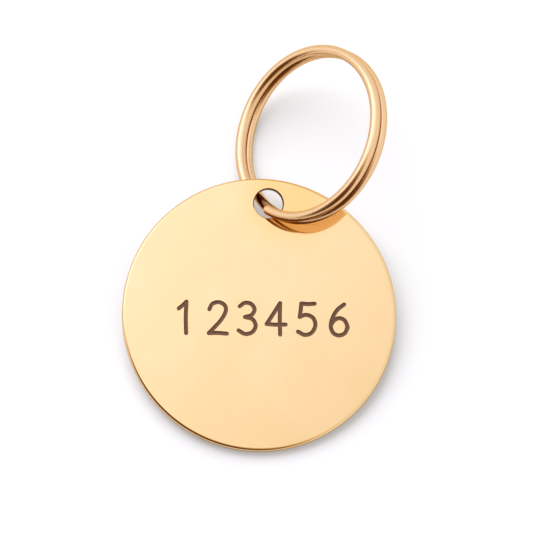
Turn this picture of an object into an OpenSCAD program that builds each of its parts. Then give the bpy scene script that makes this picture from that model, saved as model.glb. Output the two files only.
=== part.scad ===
// Pet id tag: a polished disc with a rounded rim and one hole, and a split ring
// that passes through the hole. The ring is one round wire in two coils. The tag
// lies on a table with its upper edge propped up by the ring.
// Lengths are in millimetres and angles in degrees.

/* [Disc] */
// Diameter of the disc
disc_d = 30; // [22:0.5:42]
// Thickness of the disc
disc_t = 1; // [0.7:0.05:1.2]
// Radius of the rounded rim
rim_r = 0.28; // [0.1:0.01:0.32]
// Diameter of the hole for the split ring
hole_d = 3.2; // [2.8:0.1:5]
// Radius of the hole's rounded edges
hole_edge_r = 0.1; // [0.04:0.01:0.25]
// Metal left between the hole and the rim
hole_margin = 1.12; // [0.9:0.02:1.4]

/* [Split ring] */
// Outer diameter of the split ring
ring_od = 20; // [16:0.5:28]
// Diameter of the ring's wire
wire_d = 1.14; // [0.9:0.02:1.3]
// Gap between the two coils
coil_gap = 0.02; // [0.01:0.01:0.1]
// Length along the wire over which it steps from one coil to the other
step_len = 1.8; // [1.4:0.1:3]
// Clear length of wire between the back of the disc and the step
step_play = 0.15; // [0.05:0.05:0.4]
// Angle round the ring from the hole to the wire's front end
tip_angle = 9.5; // [6:0.5:14]

/* [How the ring lies in the hole] */
// Clearance between the wire and the edges of the hole
wire_play = 0.053; // [0.03:0.001:0.1]
// Distance by which the wire lies back towards the rim at the middle of the hole
set_back = 0.3; // [0.1:0.05:0.4]
// Direction in which the wire comes out of the hole, seen from the front
heading = -45.2; // [-60:0.2:-30]
// Turn of the ring about its own wire
roll = 115; // [108:0.5:122]
// Sideways lean of the disc on the table
side_lean = 1.5; // [0.5:0.1:3]

/* [Hidden] */
$fn = 96;

// Length by which a cut runs past the face it leaves
overrun = 0.5;

coil_r = (ring_od - wire_d) / 2;
wire_r = wire_d / 2;
coil_pitch = wire_d + coil_gap;
hole_y = disc_d / 2 - hole_margin - hole_d / 2;
// The bends and ends of the wire are balls a little fatter than the wire
bend_share = 1.015;

// The wire slants through the hole as far as its two edges let it
edge_room = [hole_d + 2 * hole_edge_r, disc_t - 2 * hole_edge_r];
slant = acos((wire_d + 2 * wire_play + 2 * hole_edge_r) / norm(edge_room))
    - atan2(edge_room.y, edge_room.x);

// Behind the disc the wire steps to the other coil. Its hidden end lies beside the
// step. Both are set by lengths along the wire from the middle of the hole.
step_start = (disc_t / 2 + wire_r + step_play) / cos(slant);
wire_end = step_start + norm([coil_pitch, step_len]);
step_near_angle = angle_of(step_start);
step_far_angle = angle_of(step_start + step_len);
end_angle = angle_of(wire_end);

function angle_of(length) = 180 * length / (PI * coil_r);

function turned_x(v, a) = [v.x, v.y * cos(a) - v.z * sin(a), v.y * sin(a) + v.z * cos(a)];
function turned_y(v, a) = [v.x * cos(a) + v.z * sin(a), v.y, v.z * cos(a) - v.x * sin(a)];
function turned_z(v, a) = [v.x * cos(a) - v.y * sin(a), v.x * sin(a) + v.y * cos(a), v.z];

// From the ring's own frame to the disc's, whose origin is the disc's middle
function ring_turned(v) = turned_z(turned_y(turned_z(v, roll), slant), heading);
ring_axis = ring_turned([0, 1, 0]);
ring_out = ring_turned([1, 0, 0]);
wire_place = [0, hole_y, 0] - set_back * unit([ring_out.x, ring_out.y, 0]);
ring_middle = wire_place + coil_r * ring_out + coil_pitch / 2 * ring_axis;

function unit(v) = v / norm(v);

// How far the disc and the ring reach from their middles along a direction
function disc_reach(v) =
    (disc_d / 2 - rim_r) * norm([v.x, v.y]) + (disc_t / 2 - rim_r) * abs(v.z) + rim_r;
function ring_reach(v) =
    coil_r * norm(cross(v, ring_axis)) + coil_pitch / 2 * abs(v * ring_axis) + wire_r;

// The disc leans until its lower rim and the ring both touch the table
function table_up(lean) = turned_y(turned_x([0, 0, 1], -lean), -side_lean);
function ring_lift(up) = (ring_middle * up - ring_reach(up)) + disc_reach(up);
function lean_between(low, high, tries) =
    let (middle = (low + high) / 2)
    tries == 0 ? middle
    : ring_lift(table_up(middle)) > 0 ? lean_between(low, middle, tries - 1)
    : lean_between(middle, high, tries - 1);
lean_limits = [0, 45];
lean = lean_between(lean_limits[0], lean_limits[1], 40);

// The part's box on the table, which puts the origin at the middle of its bottom
function from_table(v) = turned_y(turned_x(v, -lean), -side_lean);
function to_table(v) = turned_x(turned_y(v, side_lean), lean);
function box_low(v) = min(-disc_reach(v), ring_middle * v - ring_reach(v));
function box_high(v) = max(disc_reach(v), ring_middle * v + ring_reach(v));
function box_middle(v) = (box_low(v) + box_high(v)) / 2;
disc_place = -[
    box_middle(from_table([1, 0, 0])),
    box_middle(from_table([0, 1, 0])),
    box_low(from_table([0, 0, 1]))
];

// The hinge on which the ring swings over the hole: its axis lies across the wire,
// this far back along the wire's heading and this far over the disc's middle
hinge_back = 0.2;
hinge_rise = 0.3;
hinge_axis = [sin(heading), -cos(heading), 0];
hinge_place = [-hinge_back * cos(heading), hole_y - hinge_back * sin(heading), hinge_rise];

echo("hinge place", disc_place + to_table(hinge_place), "axis", to_table(hinge_axis));
echo("ring's middle", disc_place + to_table(ring_middle), "axis", to_table(ring_axis));
echo("back face", disc_place + to_table([0, 0, -disc_t / 2]), "axis", to_table([0, 0, -1]));
echo("lean", lean, "slant", slant, "least gap between the coils", coil_gap);

module on_table() {
    translate(disc_place) rotate([lean, 0, 0]) rotate([0, side_lean, 0]) children();
}

// Half of a section with rounded corners, from the middle line out
module rounded_half(width, height, radius) {
    translate([0, -height / 2 + radius]) square([width, height - 2 * radius]);
    translate([0, -height / 2]) square([width - radius, height]);
    for (side = [-1, 1])
        translate([width - radius, side * (height / 2 - radius)]) circle(radius);
}

module tag_disc() {
    color("gold") on_table() difference() {
        rotate_extrude() rounded_half(disc_d / 2, disc_t, rim_r);
        translate([0, hole_y]) hole_cut();
    }
}

// The bore and what its rounded edges take away
module hole_cut() {
    bore_r = hole_d / 2;
    edge_height = disc_t / 2 - hole_edge_r;
    rotate_extrude() difference() {
        translate([0, -disc_t / 2 - overrun]) square([bore_r + hole_edge_r, disc_t + 2 * overrun]);
        translate([bore_r, -edge_height]) square([2 * hole_edge_r, 2 * edge_height]);
        for (side = [-1, 1])
            translate([bore_r + hole_edge_r, side * edge_height]) circle(hole_edge_r);
    }
}

// A stretch of one coil, with the hole's side of the ring at angle zero
module coil(level, from, to) {
    translate([0, 0, level]) rotate_extrude(angle = to - from, start = from)
        translate([coil_r, 0]) circle(wire_r);
}

function on_coil(angle, level) = [coil_r * cos(angle), coil_r * sin(angle), level];

module wire_ball(at) {
    translate(at) sphere(bend_share * wire_r);
}

// A straight length of wire between two points
module wire_between(start, end) {
    run = end - start;
    translate(start) rotate([0, acos(run.z / norm(run)), atan2(run.y, run.x)])
        cylinder(h = norm(run), r = wire_r);
}

module split_ring() {
    front = coil_pitch / 2;
    step_top = on_coil(-step_far_angle, front);
    step_foot = on_coil(-step_near_angle, -front);
    color("goldenrod") on_table()
        translate(wire_place) rotate([0, 0, heading]) rotate([0, slant, 0]) rotate([0, 0, roll])
        translate([coil_r, front, 0]) rotate([90, 0, 180]) {
            coil(front, tip_angle, 360 - step_far_angle);
            coil(-front, -step_near_angle, 360 - end_angle);
            wire_between(step_top, step_foot);
            wire_ball(step_top);
            wire_ball(step_foot);
            wire_ball(on_coil(tip_angle, front));
            wire_ball(on_coil(-end_angle, -front));
        }
}

tag_disc();
split_ring();
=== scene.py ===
import math

import bpy
from mathutils import Matrix, Vector


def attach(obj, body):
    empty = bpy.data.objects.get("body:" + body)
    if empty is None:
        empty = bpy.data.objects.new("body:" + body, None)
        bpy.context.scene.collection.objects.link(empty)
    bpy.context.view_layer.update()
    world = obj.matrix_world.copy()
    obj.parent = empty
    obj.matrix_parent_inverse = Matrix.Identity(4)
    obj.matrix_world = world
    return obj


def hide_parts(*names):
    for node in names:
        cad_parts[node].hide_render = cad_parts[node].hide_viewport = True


bl_info = {
    "name": "Pet id tag",
    "version": (1, 0, 0),
    "blender": (4, 5, 0),
    "location": "View3D > Sidebar > Pet tag",
    "description": "Builds a polished pet tag with its split ring, and the table it lies on",
    "category": "Object",
}

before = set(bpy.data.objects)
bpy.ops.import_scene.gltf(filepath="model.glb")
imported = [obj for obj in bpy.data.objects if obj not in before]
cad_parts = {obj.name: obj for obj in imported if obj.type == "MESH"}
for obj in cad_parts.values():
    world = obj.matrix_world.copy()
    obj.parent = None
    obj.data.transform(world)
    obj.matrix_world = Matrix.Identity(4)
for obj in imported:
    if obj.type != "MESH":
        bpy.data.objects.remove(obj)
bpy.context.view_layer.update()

# Pieces are drawn in millimetres and put in place in metres
MM = 0.001

# Driving sizes of the disc, in millimetres
DISC_ACROSS = 30.0
DISC_THICK = 1.0
HOLE_ACROSS = 3.2
HOLE_MARGIN = 1.12
HOLE_Y = DISC_ACROSS / 2 - HOLE_MARGIN - HOLE_ACROSS / 2

# How the tag lies on the table, with its upper edge propped up by the ring
LEAN = math.radians(5.535704)
SIDE_LEAN = math.radians(1.5)
DISC_PLACE = Vector((0.0, -7.2283, 1.9698))
TAG_TO_TABLE = (
    Matrix.Translation(DISC_PLACE) @ Matrix.Rotation(LEAN, 4, "X") @ Matrix.Rotation(SIDE_LEAN, 4, "Y")
)

# How the ring lies in the tag's hole
SLANT = math.radians(52.30384)
HEADING = math.radians(-45.2)
ROLL = math.radians(115.0)
SET_BACK = 0.3
RING_TURN = Matrix.Rotation(HEADING, 4, "Z") @ Matrix.Rotation(SLANT, 4, "Y") @ Matrix.Rotation(ROLL, 4, "Z")

# Where the wire starts, steps from one coil to the other, and ends, as angles from the hole
TIP_ANGLE = math.radians(9.5)
STEP_NEAR = math.radians(12.1225)
STEP_FAR = math.radians(23.0591)
HIDDEN_END = math.radians(25.1335)

WHITE = (1.0, 1.0, 1.0, 1.0)


def metres(name, text, millimetres):
    """A length that the user can change, kept in metres."""
    return bpy.props.FloatProperty(
        name=name, description=text, default=millimetres * MM, min=0.0, precision=5, unit="LENGTH"
    )


def shade(name, text, red, green, blue):
    """A colour that the user can change."""
    return bpy.props.FloatVectorProperty(
        name=name, description=text, default=(red, green, blue), size=3, min=0.0, max=1.0, subtype="COLOR"
    )


def share(name, text, default, most=1.0):
    """A plain amount that the user can change."""
    return bpy.props.FloatProperty(
        name=name, description=text, default=default, min=0.0, max=most, precision=3
    )


class TagSizes(bpy.types.PropertyGroup):
    """Sizes of the disc and of its numbers."""

    across: metres("Diameter", "Diameter of the disc", DISC_ACROSS)
    thick: metres("Thickness", "Thickness of the disc", DISC_THICK)
    rim: metres("Rim radius", "Radius of the rounded rim", 0.36)
    hole: metres("Hole", "Diameter of the hole for the split ring", HOLE_ACROSS)
    hole_edge: metres("Hole edge", "Radius of the hole's rounded edges", 0.1)
    margin: metres("Margin", "Metal left between the hole and the rim", HOLE_MARGIN)
    number_high: metres("Number height", "Height of the engraved numbers", 3.45)
    number_wide: metres("Cut width", "Width of the engraved cuts", 0.47)
    number_deep: metres("Cut depth", "Depth of the engraved cuts", 0.09)


class RingSizes(bpy.types.PropertyGroup):
    """Sizes of the split ring."""

    across: metres("Diameter", "Outer diameter of the ring", 20.0)
    wire: metres("Wire", "Diameter of the wire", 1.14)
    gap: metres("Gap", "Gap between the two coils", 0.02)


class TagFinish(bpy.types.PropertyGroup):
    """Colours and polish of the metal."""

    disc_colour: shade("Disc", "Colour of the polished disc", 0.96, 0.68, 0.365)
    ring_colour: shade("Ring", "Colour of the ring's wire", 0.96, 0.655, 0.385)
    cut_colour: shade("Numbers", "Colour of the engraved cuts", 0.1, 0.047, 0.021)
    # The hole's wall is painted dark: painted shade of the gap under the tag
    bore_shade_colour: shade("Hole wall", "Colour of the hole's punched wall", 0.2, 0.08, 0.03)
    disc_dull: share("Disc roughness", "Roughness of the polished disc", 0.06)
    ring_dull: share("Wire roughness", "Roughness of the wire", 0.04)


class StageLook(bpy.types.PropertyGroup):
    """Brightness of the table and of the light around it."""

    table_glow: share("Table glow", "How far the table is lifted to white", 0.22)
    surround: share("Surround", "Brightness of the white surround", 0.95, 3.0)
    lamp: share("Shadow lamp", "Strength of the lamp that gives the table its shadows", 4.0, 5.0)
    key: share("Key light", "How much brighter the upper left is", 0.3, 5.0)
    window: share("Window", "How much brighter the window on the left is", 0.65, 5.0)


class Amount:
    """A number in a material, which can be worked with as a plain number."""

    def __init__(self, finish, socket):
        self.finish = finish
        self.socket = socket

    def maths(self, operation, *values):
        made = self.finish.node("ShaderNodeMath", {"operation": operation}, dict(enumerate(values)))
        return Amount(self.finish, made.outputs[0])

    def __add__(self, other):
        return self.maths("ADD", self, other)

    def __radd__(self, other):
        return self.maths("ADD", other, self)

    def __sub__(self, other):
        return self.maths("SUBTRACT", self, other)

    def __rsub__(self, other):
        return self.maths("SUBTRACT", other, self)

    def __mul__(self, other):
        return self.maths("MULTIPLY", self, other)

    def __rmul__(self, other):
        return self.maths("MULTIPLY", other, self)

    def between(self, low, high):
        """0 at low, 1 at high, and smooth in between."""
        made = self.finish.node(
            "ShaderNodeMapRange",
            {"interpolation_type": "SMOOTHSTEP"},
            {"Value": self, "From Min": low, "From Max": high},
        )
        return Amount(self.finish, made.outputs["Result"])


class Finish:
    """A material or world whose nodes are added one by one."""

    def __init__(self, owner):
        owner.use_nodes = True
        self.owner = owner
        self.tree = owner.node_tree
        self.tree.nodes.clear()

    def node(self, kind, settings=None, inputs=None):
        """Adds a node: its settings are set first, then the values or links of its sockets."""
        made = self.tree.nodes.new(kind)
        for name, value in (settings or {}).items():
            if name == "stops":
                self.set_stops(made.color_ramp, value)
            else:
                setattr(made, name, value)
        for name, value in (inputs or {}).items():
            self.feed(made.inputs[name], value)
        return made

    def feed(self, socket, value):
        """Links a socket to another one, or gives it a plain value."""
        if isinstance(value, Amount):
            value = value.socket
        if isinstance(value, bpy.types.NodeSocket):
            self.tree.links.new(value, socket)
        else:
            socket.default_value = value

    def set_stops(self, ramp, stops):
        """Gives a ramp its stops, each a place and a colour."""
        while len(ramp.elements) < len(stops):
            ramp.elements.new(0.5)
        for element, (place, colour) in zip(ramp.elements, stops):
            element.position = place
            element.color = (*colour, 1.0)

    def mixed(self, part, first, second):
        """A colour between two others, by how much of the second it holds."""
        return self.node("ShaderNodeMix", {"data_type": "RGBA"}, {0: part, 6: first, 7: second}).outputs[2]

    def vectors(self, operation, first, second):
        """A sum on two vectors."""
        return self.node("ShaderNodeVectorMath", {"operation": operation}, {0: first, 1: second})

    def vector_of(self, x, y, z):
        """A vector from three amounts."""
        return self.node("ShaderNodeCombineXYZ", None, {0: x, 1: y, 2: z}).outputs[0]

    def place(self, scale=(1.0, 1.0, 1.0), turn=0.0):
        """Where a spot of the piece is, in metres times the scale, turned about the upright axis."""
        at = self.node("ShaderNodeTexCoord").outputs["Object"]
        inputs = {"Vector": at, "Scale": scale, "Rotation": (0.0, 0.0, turn)}
        return self.node("ShaderNodeMapping", None, inputs).outputs[0]

    def noise(self, at, scale=1.0, detail=2.0, rough=0.5):
        """Soft noise over the given places."""
        inputs = {"Vector": at, "Scale": scale, "Detail": detail, "Roughness": rough}
        return Amount(self, self.node("ShaderNodeTexNoise", None, inputs).outputs[0])

    def relief(self, height, strength, distance):
        """The normal of a surface with a fine relief."""
        inputs = {"Strength": strength, "Distance": distance, "Height": height}
        return self.node("ShaderNodeBump", None, inputs).outputs[0]

    def surface(self, colour, metallic, roughness, normal, edge=WHITE):
        """The finished surface. The edge colour is the one that metal takes on at a low angle."""
        inputs = {
            "Base Color": colour,
            "Metallic": metallic,
            "Roughness": roughness,
            "Specular Tint": edge,
            "Normal": normal,
        }
        shader = self.node("ShaderNodeBsdfPrincipled", None, inputs)
        return self.show(shader.outputs[0])

    def show(self, shader, output="ShaderNodeOutputMaterial"):
        """Shows the shader on the material or world, and gives that back."""
        self.node(output, None, {"Surface": shader})
        return self.owner


def toned(colour, red=1.0, green=1.0, blue=1.0):
    """A colour with each of its parts scaled, as sockets take it."""
    return (colour[0] * red, colour[1] * green, colour[2] * blue, 1.0)


# The gold turns paler where it is seen at a low angle
GOLD_EDGE = (0.97, 0.78, 0.5, 1.0)

# Painted reflection: the disc is painted warmer round a spot beside its hole, standing in for a warm
# reflection there; the spot's middle, and how far the painted warmth reaches
REFLECTION_SPOT = Vector((1.9, 6.0, 3.7)) * MM
REFLECTION_FULL = 2.0 * MM
REFLECTION_END = 6.8 * MM

# Millimetres along the wire over which its two sides trade places at the step between the coils
STEP_BLEND = 0.8


def polished_disc_gold(colour, dull):
    """Mirror polish with faint hairlines, a trace of uneven plating, and a painted warm reflection beside
    the hole.
    """
    metal = Finish(bpy.data.materials.new("polished_disc_gold"))
    cloud = metal.noise(metal.place(), scale=140.0, detail=3.0)
    hairs = metal.noise(metal.place(scale=(300.0, 9000.0, 300.0), turn=0.35))
    plating = metal.mixed(cloud.between(0.35, 0.65), toned(colour, 0.985, 0.965, 0.92), toned(colour))
    # Painted reflection: the colour turns warmer near a spot beside the hole
    away = Amount(metal, metal.vectors("DISTANCE", metal.place(), REFLECTION_SPOT).outputs["Value"])
    tint = metal.mixed(away.between(REFLECTION_END, REFLECTION_FULL), plating, toned(colour, 0.985, 0.885, 0.67))
    roughness = dull + 0.03 * hairs.between(0.55, 0.75)
    normal = metal.relief(hairs, strength=0.02, distance=0.00001)
    return metal.surface(tint, 1.0, roughness, normal, GOLD_EDGE)


def engraved_brown(colour):
    """Burnt floor of a cut, with the fine passes of the tool."""
    burnt = Finish(bpy.data.materials.new("engraved_brown"))
    passes = burnt.noise(burnt.place(scale=(4000.0, 16000.0, 4000.0), turn=0.6), detail=3.0)
    pale = [part * 1.5 + 0.01 for part in colour]
    tint = burnt.mixed(passes.between(0.3, 0.7), toned(colour), toned(pale))
    normal = burnt.relief(passes, strength=0.5, distance=0.00002)
    return burnt.surface(tint, 0.35, 0.62, normal)


def painted_shade_bore(colour):
    """Wall of the hole, painted darker than the faces as painted shade, standing in for the dark gap under
    the tag that it mirrors, with streaks, and duller.
    """
    bore = Finish(bpy.data.materials.new("painted_shade_bore"))
    streaks = bore.noise(bore.place(scale=(9000.0, 9000.0, 900.0)))
    tint = bore.mixed(streaks.between(0.35, 0.65), toned(colour, 0.6, 0.6, 0.6), toned(colour))
    normal = bore.relief(streaks, strength=0.4, distance=0.00002)
    return bore.surface(tint, 1.0, 0.4, normal)


def drawn_wire_gold(colour, dull, step_middle):
    """Drawn wire with fine marks, as from tumbling, and painted shade on the sides where its coils face each
    other, which are also duller.
    """
    metal = Finish(bpy.data.materials.new("drawn_wire_gold"))
    wire_map = metal.node("ShaderNodeUVMap", {"uv_map": "wire_map"}).outputs[0]
    parts = metal.node("ShaderNodeSeparateXYZ", None, {0: wire_map}).outputs
    turn = Amount(metal, parts[0]) * (2 * math.pi)
    along = Amount(metal, parts[1])
    side = turn.maths("COSINE", turn)
    height = turn.maths("SINE", turn)
    marks = metal.noise(metal.vector_of(side * 1.2, height * 1.2, along * 14.0), detail=3.0, rough=0.6)
    lines = metal.noise(metal.vector_of(side * 7.0, height * 7.0, along * 0.5))
    wear = metal.mixed(marks.between(0.35, 0.65), toned(colour, 0.96, 0.93, 0.88), toned(colour))

    # Painted shade: the sides that face the other coil are painted dark brown, standing in for the shade in
    # the groove between the coils, and made rougher
    second_coil = along.between(step_middle - STEP_BLEND / 2, step_middle + STEP_BLEND / 2)
    groove_shade_and_dull = (side * (2.0 * second_coil - 1.0)).between(0.7, 0.92)
    # Painted shade in the groove between the coils
    tint = metal.mixed(groove_shade_and_dull, wear, toned(colour, 0.36, 0.22, 0.14))
    roughness = dull + 0.06 * marks.between(0.45, 0.75) + 0.12 * groove_shade_and_dull
    normal = metal.relief(marks + 0.3 * lines, strength=0.7, distance=0.00002)
    return metal.surface(tint, 1.0, roughness, normal, GOLD_EDGE)


# Colours of the table and of the surround, lit and in mirrors
TABLE_GREY = (0.517, 0.52, 0.525, 1.0)
TABLE_IN_MIRRORS = (0.53, 0.51, 0.46, 1.0)
LOW_WALLS = (0.946, 0.954, 0.938, 1.0)
AMBER_WALL = (0.906, 0.819, 0.664, 1.0)
KEY_TINT = (1.0, 1.04, 1.22, 1.0)
WINDOW_TINT = (1.0, 0.94, 1.15, 1.0)

# From the white walls into the depth of the room
ROOM_STOPS = (
    (0.0, (1.0, 1.0, 1.0)),
    (0.25, (0.64, 0.54, 0.45)),
    (0.5, (0.4, 0.28, 0.19)),
    (0.75, (0.22, 0.125, 0.07)),
    (1.0, (0.13, 0.06, 0.027)),
)

# The lamp's direction, its width and the place of its handle
LAMP_COMPASS = 328.0
LAMP_HEIGHT = 37.0
LAMP_WIDTH = math.radians(60.0)
LAMP_PLACE = (-0.3, 0.2, 0.4)

# The table, in metres, and how far it lies below the tag
TABLE_SIDE = 4.0
TABLE_DROP = 0.01 * MM


def white_table(glow):
    """White table that keeps the shadows and shows white to the camera."""
    table = Finish(bpy.data.materials.new("white_table"))
    path = table.node("ShaderNodeLightPath")
    seen = Amount(table, path.outputs["Is Camera Ray"])
    colour = table.mixed(path.outputs["Is Glossy Ray"], TABLE_GREY, TABLE_IN_MIRRORS)
    soft = table.node("ShaderNodeBsdfDiffuse", None, {"Color": colour})
    light = table.node("ShaderNodeEmission", None, {"Color": WHITE, "Strength": glow * seen})
    both = table.node("ShaderNodeAddShader", None, {0: soft.outputs[0], 1: light.outputs[0]})
    return table.show(both.outputs[0])


def from_side(compass, height):
    """A direction in degrees, clockwise from the hole's side of the tag and up from the table."""
    turn = math.radians(compass)
    rise = math.radians(height)
    return (math.sin(turn) * math.cos(rise), math.cos(turn) * math.cos(rise), math.sin(rise))


def studio_surround(look):
    """White tent with a bright upper left, a window low on the left, and a brown room nearer the viewer."""
    tent = Finish(bpy.data.worlds.new("studio_surround"))
    way = tent.node("ShaderNodeTexCoord").outputs["Object"]

    def patch(compass, height, full, none):
        """1 up to the full angle from a direction, and 0 from the none angle on."""
        near = Amount(tent, tent.vectors("DOT_PRODUCT", way, from_side(compass, height)).outputs["Value"])
        return near.between(math.cos(math.radians(none)), math.cos(math.radians(full)))

    window = patch(294.0, 34.0, 10.0, 30.0)
    upper_left = patch(304.0, 58.0, 32.7, 38.2)
    overhead = patch(0.0, 90.0, 30.0, 75.0)
    amber = patch(188.6, 55.3, 34.3, 36.8)
    walls = LOW_WALLS
    for part, colour in (
        (overhead, WHITE),
        (amber, AMBER_WALL),
        (upper_left, KEY_TINT),
        (window, WINDOW_TINT),
    ):
        walls = tent.mixed(part, walls, colour)
    room = tent.node("ShaderNodeValToRGB", {"stops": ROOM_STOPS}, {0: patch(201.0, 24.0, 4.0, 58.0)})
    around = tent.vectors("MULTIPLY", walls, room.outputs[0])
    bright = look.surround + look.key * upper_left + look.window * window

    # The camera sees plain white, and everything else sees the tent
    unseen = 1.0 - Amount(tent, tent.node("ShaderNodeLightPath").outputs["Is Camera Ray"])
    shown = tent.mixed(unseen, WHITE, around.outputs[0])
    strength = 1.0 + unseen * (bright - 1.0)
    light = tent.node("ShaderNodeBackground", None, {"Color": shown, "Strength": strength})
    return tent.show(light.outputs[0], "ShaderNodeOutputWorld")


# Pen strokes of the numbers in a box one high, from left to right
STROKES = {
    "1": [
        [(0.10, 0.78), (0.22, 0.88), (0.34, 1.0)],
        [(0.34, 1.0), (0.325, 0.5), (0.34, 0.0)],
    ],
    "2": [
        [
            (0.04, 0.77), (0.13, 0.94), (0.33, 1.0), (0.52, 0.91),
            (0.56, 0.72), (0.43, 0.46), (0.22, 0.21), (0.03, 0.01),
        ],
        [(0.03, 0.01), (0.32, 0.02), (0.6, 0.0)],
    ],
    "3": [
        [(0.06, 0.88), (0.22, 0.99), (0.42, 0.96), (0.53, 0.79), (0.44, 0.61), (0.23, 0.54)],
        [(0.23, 0.54), (0.47, 0.47), (0.57, 0.26), (0.46, 0.06), (0.24, 0.0), (0.03, 0.11)],
    ],
    "4": [
        [(0.44, 1.0), (0.23, 0.66), (0.02, 0.33)],
        [(0.02, 0.33), (0.32, 0.31), (0.62, 0.32)],
        [(0.44, 1.0), (0.435, 0.5), (0.45, 0.0)],
    ],
    "5": [
        [(0.55, 1.0), (0.34, 0.985), (0.13, 1.0)],
        [(0.13, 1.0), (0.11, 0.79), (0.08, 0.57)],
        [(0.08, 0.57), (0.28, 0.64), (0.5, 0.55), (0.58, 0.32), (0.47, 0.08), (0.25, 0.0), (0.03, 0.1)],
    ],
    "6": [
        [
            (0.46, 0.99), (0.25, 0.82), (0.1, 0.57), (0.04, 0.3),
            (0.12, 0.08), (0.31, 0.0), (0.5, 0.09), (0.57, 0.29),
        ],
        [(0.56, 0.2), (0.57, 0.29), (0.47, 0.49), (0.29, 0.55), (0.13, 0.46), (0.07, 0.36)],
    ],
}
STROKE_MIDDLE = (0.3, 0.5)

# Middles of the numbers along their line, where that line lies on the disc, and how far it is turned
NUMBER_STEPS = {"1": -8.55, "2": -5.0, "3": -1.75, "4": 1.35, "5": 4.75, "6": 8.3}
NUMBER_LINE = Vector((0.46, -0.43))
NUMBER_TURN = math.radians(4.2)

# Half the space that the numbers take, across and up
NUMBERS_REACH = (12.0, 3.5)

# The strokes lie a little low, so that no edge of a stroke runs in the face of the disc
STROKE_DROP = 0.0063

# How the round end of a stroke closes, as angles towards its tip
STROKE_END = [math.radians(angle) for angle in (25, 45, 62, 76, 86)]
STROKE_MERGE = 0.0001

# How near to a place an edge or a face counts as lying there
EDGE_SLACK = 0.001
FACE_SLACK = 0.0005
HOLE_SLACK = 0.01

# Faces round the disc and round its hole, and steps of their rounded edges
DISC_FACES = 288
HOLE_FACES = 96
RIM_STEPS = 9
HOLE_EDGE_STEPS = 5
SHARP_ANGLE = math.radians(35)


def deselect_all():
    """Leaves edit mode and deselects every object."""
    if bpy.context.object and bpy.context.object.mode != "OBJECT":
        bpy.ops.object.mode_set(mode="OBJECT")
    bpy.ops.object.select_all(action="DESELECT")


def start_piece(name):
    """Names the primitive that was just added, and gives it back."""
    piece = bpy.context.object
    piece.name = name
    piece.data.name = name
    return piece


def only(piece):
    """Selects one piece and nothing else."""
    deselect_all()
    piece.select_set(True)
    bpy.context.view_layer.objects.active = piece


def round_edges(piece, wanted, radius, steps):
    """Rounds the edges whose middle passes the test."""
    only(piece)
    bpy.ops.object.mode_set(mode="EDIT")
    bpy.ops.mesh.select_mode(type="EDGE")
    bpy.ops.mesh.select_all(action="DESELECT")
    bpy.ops.object.mode_set(mode="OBJECT")
    points = piece.data.vertices
    for edge in piece.data.edges:
        edge.select = wanted((points[edge.vertices[0]].co + points[edge.vertices[1]].co) / 2)
    bpy.ops.object.mode_set(mode="EDIT")
    bpy.ops.mesh.bevel(offset=radius, segments=steps, profile=0.5, affect="EDGES")
    bpy.ops.object.mode_set(mode="OBJECT")


def close_seams(piece, near):
    """Merges the points that meet, and turns all faces outwards."""
    only(piece)
    bpy.ops.object.mode_set(mode="EDIT")
    bpy.ops.mesh.select_all(action="SELECT")
    bpy.ops.mesh.remove_doubles(threshold=near)
    bpy.ops.mesh.normals_make_consistent(inside=False)
    bpy.ops.object.mode_set(mode="OBJECT")


def apply_modifier(piece, kind, **settings):
    """Adds a modifier with its settings and applies it."""
    only(piece)
    added = piece.modifiers.new(kind.lower(), kind)
    for name, value in settings.items():
        setattr(added, name, value)
    bpy.ops.object.modifier_apply(modifier=added.name)


def settle(piece, place):
    """Puts a piece drawn in millimetres in its place in metres, and keeps the place in its mesh."""
    only(piece)
    piece.matrix_world = Matrix.Scale(MM, 4) @ place
    bpy.ops.object.transform_apply(location=True, rotation=True, scale=True)


def cut_away(piece, cutter):
    """Cuts one piece out of another, and removes the cutter."""
    apply_modifier(piece, "BOOLEAN", operation="DIFFERENCE", object=cutter, solver="MANIFOLD")
    bpy.data.objects.remove(cutter, do_unlink=True)


def smooth_line(points, steps=7):
    """A smooth line through the points of a pen stroke."""
    knots = [Vector(point) for point in points]
    ends = [2 * knots[0] - knots[1]] + knots + [2 * knots[-1] - knots[-2]]
    line = []
    for index in range(1, len(ends) - 2):
        before, start, end, after = ends[index - 1 : index + 3]
        slope = end - before
        bend = 2 * before - 5 * start + 4 * end - after
        twist = 3 * start - before - 3 * end + after
        for step in range(steps):
            t = step / steps
            line.append(0.5 * (2 * start + slope * t + bend * t**2 + twist * t**3))
    return line + [knots[-1]]


def pen_stroke(points, width, place):
    """A tube with round ends along one stroke of the pen."""
    line = smooth_line(points)
    first = (line[0] - line[1]).normalized() * width / 2
    last = (line[-1] - line[-2]).normalized() * width / 2
    stations = [(line[0] + first * math.sin(bend), math.cos(bend)) for bend in reversed(STROKE_END)]
    stations += [(point, 1.0) for point in line]
    stations += [(line[-1] + last * math.sin(bend), math.cos(bend)) for bend in STROKE_END]
    deselect_all()
    bpy.ops.curve.primitive_nurbs_path_add()
    stroke = start_piece("stroke")
    curve = stroke.data
    curve.splines.clear()
    spline = curve.splines.new("POLY")
    spline.points.add(len(stations) - 1)
    for knot, (at, size) in zip(spline.points, stations):
        knot.co = (at.x, at.y, 0.0, 1.0)
        knot.radius = size
    curve.dimensions = "3D"
    curve.bevel_depth = width / 2
    curve.bevel_resolution = 4
    curve.use_fill_caps = True
    bpy.ops.object.convert(target="MESH")
    stroke.matrix_world = place
    bpy.ops.object.transform_apply(location=True, rotation=True, scale=True)
    close_seams(stroke, STROKE_MERGE)
    return stroke


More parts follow.
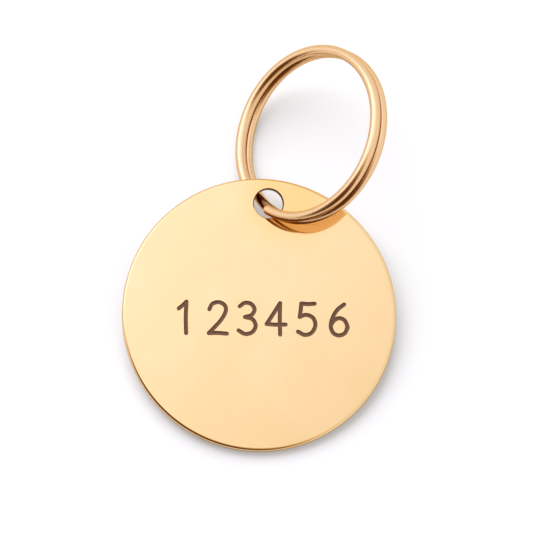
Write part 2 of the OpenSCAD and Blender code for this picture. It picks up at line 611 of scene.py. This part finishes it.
def cut_numbers(disc, sizes):
    """Cuts the numbers, each stroke a shallow round groove."""
    high = sizes.number_high / MM
    width = sizes.number_wide / MM
    flat = sizes.number_deep * 2 / sizes.number_wide
    line = (
        Matrix.Translation((NUMBER_LINE.x, NUMBER_LINE.y, sizes.thick / MM / 2 - STROKE_DROP))
        @ Matrix.Rotation(NUMBER_TURN, 4, "Z")
        @ Matrix.Diagonal((1.0, 1.0, flat, 1.0))
    )
    for number, strokes in STROKES.items():
        spot = line @ Matrix.Translation((NUMBER_STEPS[number], 0.0, 0.0))
        for points in strokes:
            drawn = [((x - STROKE_MIDDLE[0]) * high, (y - STROKE_MIDDLE[1]) * high) for x, y in points]
            cut_away(disc, pen_stroke(drawn, width, spot))


def hole_middle(sizes):
    """How far the middle of the hole is from the middle of the disc."""
    return sizes.across / MM / 2 - sizes.margin / MM - sizes.hole / MM / 2


def finish_disc(disc, sizes, finish):
    """Gives the faces, the cuts and the hole's wall their finish, by where they lie; the hole's wall gets
    the painted shade.
    """
    half = sizes.thick / MM / 2
    bore = sizes.hole / MM / 2
    edge = sizes.hole_edge / MM
    hole_y = hole_middle(sizes)
    disc.data.materials.clear()
    disc.data.materials.append(polished_disc_gold(tuple(finish.disc_colour), finish.disc_dull))
    disc.data.materials.append(engraved_brown(tuple(finish.cut_colour)))
    disc.data.materials.append(painted_shade_bore(tuple(finish.bore_shade_colour)))
    for face in disc.data.polygons:
        at = face.center
        in_numbers = abs(at.x) < NUMBERS_REACH[0] and abs(at.y) < NUMBERS_REACH[1]
        # Painted shade: the hole's rounded edge is painted dark with its wall, all but a thin strip on the
        # side of the disc's middle, which stays bright
        shaded_edge_reach = edge if at.y - hole_y > -0.4 * bore else 0.1 * edge
        in_shaded_bore = math.hypot(at.x, at.y - hole_y) < bore + shaded_edge_reach
        if in_numbers and 0.0 < at.z < half - FACE_SLACK:
            face.material_index = 1
        elif in_shaded_bore and abs(at.z) < half - FACE_SLACK:
            face.material_index = 2
        else:
            face.material_index = 0


def make_disc(sizes, finish):
    """The polished disc with its rounded rim, its hole and its engraved numbers."""
    radius = sizes.across / MM / 2
    half = sizes.thick / MM / 2
    bore = sizes.hole / MM / 2
    hole_y = hole_middle(sizes)

    def at_rim(at):
        return abs(at.z) > half - EDGE_SLACK

    def at_hole(at):
        return at_rim(at) and math.hypot(at.x, at.y - hole_y) < bore + HOLE_SLACK

    deselect_all()
    bpy.ops.mesh.primitive_cylinder_add(vertices=DISC_FACES, radius=radius, depth=2 * half)
    disc = start_piece("polished_disc")
    round_edges(disc, at_rim, sizes.rim / MM, RIM_STEPS)

    deselect_all()
    bpy.ops.mesh.primitive_cylinder_add(
        vertices=HOLE_FACES, radius=bore, depth=6 * half, location=(0.0, hole_y, 0.0)
    )
    cut_away(disc, start_piece("hole_cutter"))
    round_edges(disc, at_hole, sizes.hole_edge / MM, HOLE_EDGE_STEPS)

    cut_numbers(disc, sizes)
    finish_disc(disc, sizes, finish)
    settle(disc, TAG_TO_TABLE)
    only(disc)
    bpy.ops.object.shade_smooth_by_angle(angle=SHARP_ANGLE)
    apply_modifier(disc, "WEIGHTED_NORMAL", keep_sharp=True, weight=100, mode="FACE_AREA")
    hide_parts("tag_disc")
    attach(disc, "tag")


# Points round the wire, and sections along it and in each of its round ends
WIRE_SIDES = 40
WIRE_SECTIONS = 760
END_SECTIONS = 8

# Any turn short of a full one keeps the sections apart until each is set in its place
SCREW_TURN = math.radians(300)
SMALL_TURN = 0.0001
WIRE_MERGE = 0.0002


def eased(part):
    """Eases in and out from 0 to 1."""
    part = min(1.0, max(0.0, part))
    return part * part * (3.0 - 2.0 * part)


def wire_stations(first, last, radius):
    """The sections of the wire, each an angle, a distance past it and a share of the wire's radius."""
    stations = []
    for step in range(END_SECTIONS):
        bend = math.pi / 2 * (1 - step / END_SECTIONS)
        stations.append((first, -radius * math.sin(bend), math.cos(bend)))
    for step in range(WIRE_SECTIONS + 1):
        stations.append((first + (last - first) * step / WIRE_SECTIONS, 0.0, 1.0))
    for step in range(END_SECTIONS):
        bend = math.pi / 2 * (step + 1) / END_SECTIONS
        stations.append((last, radius * math.sin(bend), math.cos(bend)))
    return stations


def lay_wire_map(ring, stations, coil):
    """A map that runs once round the wire one way, and in millimetres along it the other way."""
    layer = ring.data.uv_layers.new(name="wire_map")
    for face in ring.data.polygons:
        corners = [ring.data.loops[loop].vertex_index for loop in face.loop_indices]
        turns = [corner % WIRE_SIDES for corner in corners]
        for loop, corner, turn in zip(face.loop_indices, corners, turns):
            angle, ahead, _ = stations[corner // WIRE_SIDES]
            if turn == 0 and max(turns) == WIRE_SIDES - 1:
                turn = WIRE_SIDES
            layer.data[loop].uv = (turn / WIRE_SIDES, angle * coil + ahead)


def ring_place(hole_y, coil, pitch):
    """From the ring's own frame to the disc's, with the wire through the middle of the hole."""
    away = RING_TURN @ Vector((1.0, 0.0, 0.0))
    flat = Vector((away.x, away.y, 0.0)).normalized()
    return (
        Matrix.Translation(Vector((0.0, hole_y, 0.0)) - SET_BACK * flat)
        @ RING_TURN
        @ Matrix.Translation((coil, pitch / 2, 0.0))
        @ Matrix.Rotation(math.pi, 4, "Z")
        @ Matrix.Rotation(math.pi / 2, 4, "X")
    )


def make_ring(sizes, tag_sizes, finish):
    """The split ring: one round wire in two coils, with a step from one to the other."""
    wire = sizes.wire / MM / 2
    coil = sizes.across / MM / 2 - wire
    pitch = 2 * wire + sizes.gap / MM
    step_from = 2 * math.pi - STEP_FAR
    step_to = 2 * math.pi - STEP_NEAR
    stations = wire_stations(TIP_ANGLE, 4 * math.pi - HIDDEN_END, wire)

    def path(angle):
        """The middle of the wire."""
        level = pitch / 2 - pitch * eased((angle - step_from) / (step_to - step_from))
        return Vector((coil * math.cos(angle), coil * math.sin(angle), level))

    # The wire's section is turned into a tube, and each section is then set square to the path
    deselect_all()
    bpy.ops.mesh.primitive_circle_add(
        vertices=WIRE_SIDES, radius=wire, location=(coil, 0.0, 0.0), rotation=(math.pi / 2, 0.0, 0.0)
    )
    ring = start_piece("split_ring_wire")
    bpy.ops.object.transform_apply(location=True, rotation=True, scale=True)
    turns = len(stations) - 1
    apply_modifier(ring, "SCREW", axis="Z", angle=SCREW_TURN, steps=turns, render_steps=turns)
    for index, point in enumerate(ring.data.vertices):
        angle, ahead, size = stations[index // WIRE_SIDES]
        round_wire = 2 * math.pi * (index % WIRE_SIDES) / WIRE_SIDES
        along = (path(angle + SMALL_TURN) - path(angle - SMALL_TURN)).normalized()
        across = along.cross(Vector((math.cos(angle), math.sin(angle), 0.0))).normalized()
        outward = across.cross(along)
        section = outward * math.sin(round_wire) - across * math.cos(round_wire)
        point.co = path(angle) + along * ahead + section * wire * size
    lay_wire_map(ring, stations, coil)
    close_seams(ring, WIRE_MERGE)

    step_middle = coil * (step_from + step_to) / 2
    ring.data.materials.append(drawn_wire_gold(tuple(finish.ring_colour), finish.ring_dull, step_middle))
    settle(ring, TAG_TO_TABLE @ ring_place(hole_middle(tag_sizes), coil, pitch))
    only(ring)
    bpy.ops.object.shade_smooth()
    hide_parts("split_ring")
    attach(ring, "ring")


# The photographer's place, in millimetres from the tag's own frame
PICTURE_RIGHT = Vector((0.99454215, 0.08161314, 0.06500163))
PICTURE_UP = Vector((-0.08925722, 0.98813327, 0.12500313))
TO_VIEWER = Vector((-0.05402837, -0.13012274, 0.99002475))
HOLE_TOP = Vector((0.0, HOLE_Y, DISC_THICK / 2))
MIDDLE_FROM_HOLE = (-0.223, -6.9115)
FAR = 550.06
FIELD = 58.373
SENSOR = 36.0


def set_camera():
    """Puts the camera where the photographer's was."""
    middle = HOLE_TOP + MIDDLE_FROM_HOLE[0] * PICTURE_RIGHT + MIDDLE_FROM_HOLE[1] * PICTURE_UP
    look = Matrix((PICTURE_RIGHT, PICTURE_UP, TO_VIEWER)).transposed().to_4x4()
    placed = TAG_TO_TABLE @ Matrix.Translation(middle + FAR * TO_VIEWER) @ look
    deselect_all()
    bpy.ops.object.camera_add()
    camera = bpy.context.object
    camera.name = "photo_camera"
    turn = placed.to_3x3().normalized()
    camera.matrix_world = Matrix.Translation(placed.translation * MM) @ turn.to_4x4()
    camera.data.lens = SENSOR * FAR / FIELD
    camera.data.sensor_width = SENSOR
    camera.data.clip_start = 0.01
    camera.data.clip_end = 20.0
    bpy.context.scene.camera = camera


def set_stage(look):
    """The white table, the lamp that gives it shadows, and the surround that the metal mirrors."""
    deselect_all()
    bpy.ops.mesh.primitive_plane_add(size=TABLE_SIDE, location=(0.0, 0.0, -TABLE_DROP))
    table = start_piece("white_table_top")
    bpy.ops.object.transform_apply(location=True, rotation=True, scale=True)
    table.data.materials.append(white_table(look.table_glow))

    deselect_all()
    bpy.ops.object.light_add(type="SUN", location=LAMP_PLACE)
    lamp = bpy.context.object
    lamp.name = "shadow_lamp"
    towards_lamp = Vector(from_side(LAMP_COMPASS, LAMP_HEIGHT))
    lamp.rotation_euler = towards_lamp.to_track_quat("Z", "Y").to_euler()
    lamp.data.energy = look.lamp
    lamp.data.angle = LAMP_WIDTH
    lamp.visible_glossy = False

    bpy.context.scene.world = studio_surround(look)
    bpy.context.scene.view_settings.view_transform = "Standard"


class PETTAG_OT_disc(bpy.types.Operator):
    """Add the polished disc with its numbers"""

    bl_idname = "pettag.disc"
    bl_label = "Disc"

    def execute(self, context):
        make_disc(context.scene.tag_sizes, context.scene.tag_finish)
        return {"FINISHED"}


class PETTAG_OT_ring(bpy.types.Operator):
    """Add the split ring"""

    bl_idname = "pettag.ring"
    bl_label = "Split ring"

    def execute(self, context):
        make_ring(context.scene.ring_sizes, context.scene.tag_sizes, context.scene.tag_finish)
        return {"FINISHED"}


class PETTAG_OT_stage(bpy.types.Operator):
    """Add the table, the light and the camera"""

    bl_idname = "pettag.stage"
    bl_label = "Table, light and camera"

    def execute(self, context):
        set_camera()
        set_stage(context.scene.stage_look)
        return {"FINISHED"}


GROUPS = {"tag_sizes": TagSizes, "ring_sizes": RingSizes, "tag_finish": TagFinish, "stage_look": StageLook}
OPERATORS = (PETTAG_OT_disc, PETTAG_OT_ring, PETTAG_OT_stage)


class PETTAG_PT_panel(bpy.types.Panel):
    """Sizes, colours and steps of the pet tag"""

    bl_idname = "PETTAG_PT_panel"
    bl_label = "Pet tag"
    bl_space_type = "VIEW_3D"
    bl_region_type = "UI"
    bl_category = "Pet tag"

    def draw(self, context):
        for group_name, group in GROUPS.items():
            box = self.layout.box()
            for name in group.__annotations__:
                box.prop(getattr(context.scene, group_name), name)
        for operator in OPERATORS:
            self.layout.operator(operator.bl_idname)


def register():
    for name, group in GROUPS.items():
        bpy.utils.register_class(group)
        setattr(bpy.types.Scene, name, bpy.props.PointerProperty(type=group))
    for part in (*OPERATORS, PETTAG_PT_panel):
        bpy.utils.register_class(part)


def unregister():
    for part in (PETTAG_PT_panel, *OPERATORS):
        bpy.utils.unregister_class(part)
    for name, group in GROUPS.items():
        delattr(bpy.types.Scene, name)
        bpy.utils.unregister_class(group)


def main():
    register()
    bpy.ops.pettag.disc()
    bpy.ops.pettag.ring()
    bpy.ops.pettag.stage()


if __name__ == "__main__":
    main()
